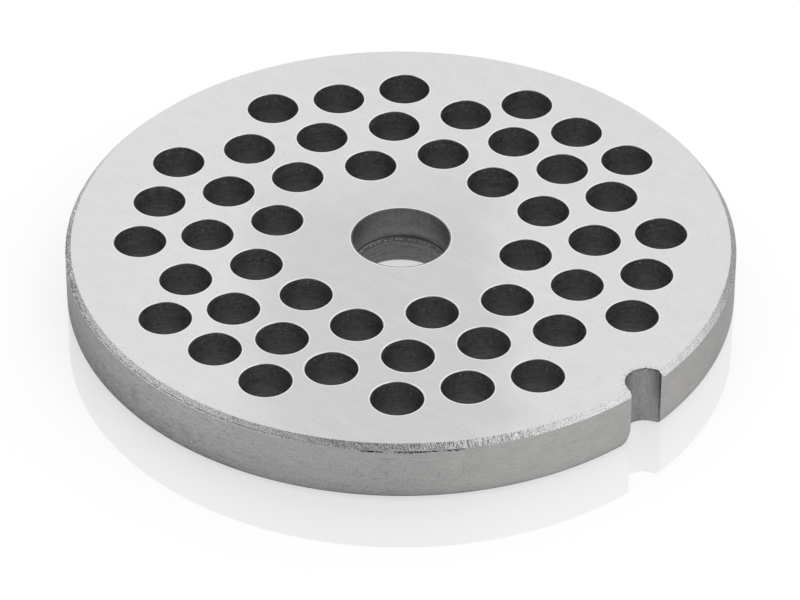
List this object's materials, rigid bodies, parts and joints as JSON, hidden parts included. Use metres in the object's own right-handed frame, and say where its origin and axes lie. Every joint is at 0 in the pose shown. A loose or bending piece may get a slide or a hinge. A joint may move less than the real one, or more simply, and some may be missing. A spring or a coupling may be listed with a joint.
{
  "type": "meat grinder plate",
  "caption": "Round flat steel hole plate of a meat grinder: drilled grinding holes round a stepped centre bore, chamfered rim and one rounded locating notch.",
  "frame": {"origin": "centre of the lower face, on the axis of the bore", "axes": "+Z along the bore axis, out of the upper face; the locating notch is at -Y; X and Y are the mirror axes of the hole pattern"},
  "size_m": [0.062, 0.0619, 0.006],
  "materials": {
    "ground_steel": "faces surface-ground with fine diagonal lines, satin turned rim, dark drilled holes"
  },
  "bodies": {
    "root": {"grinder_plate": "ground_steel"}
  },
  "joints": []
}
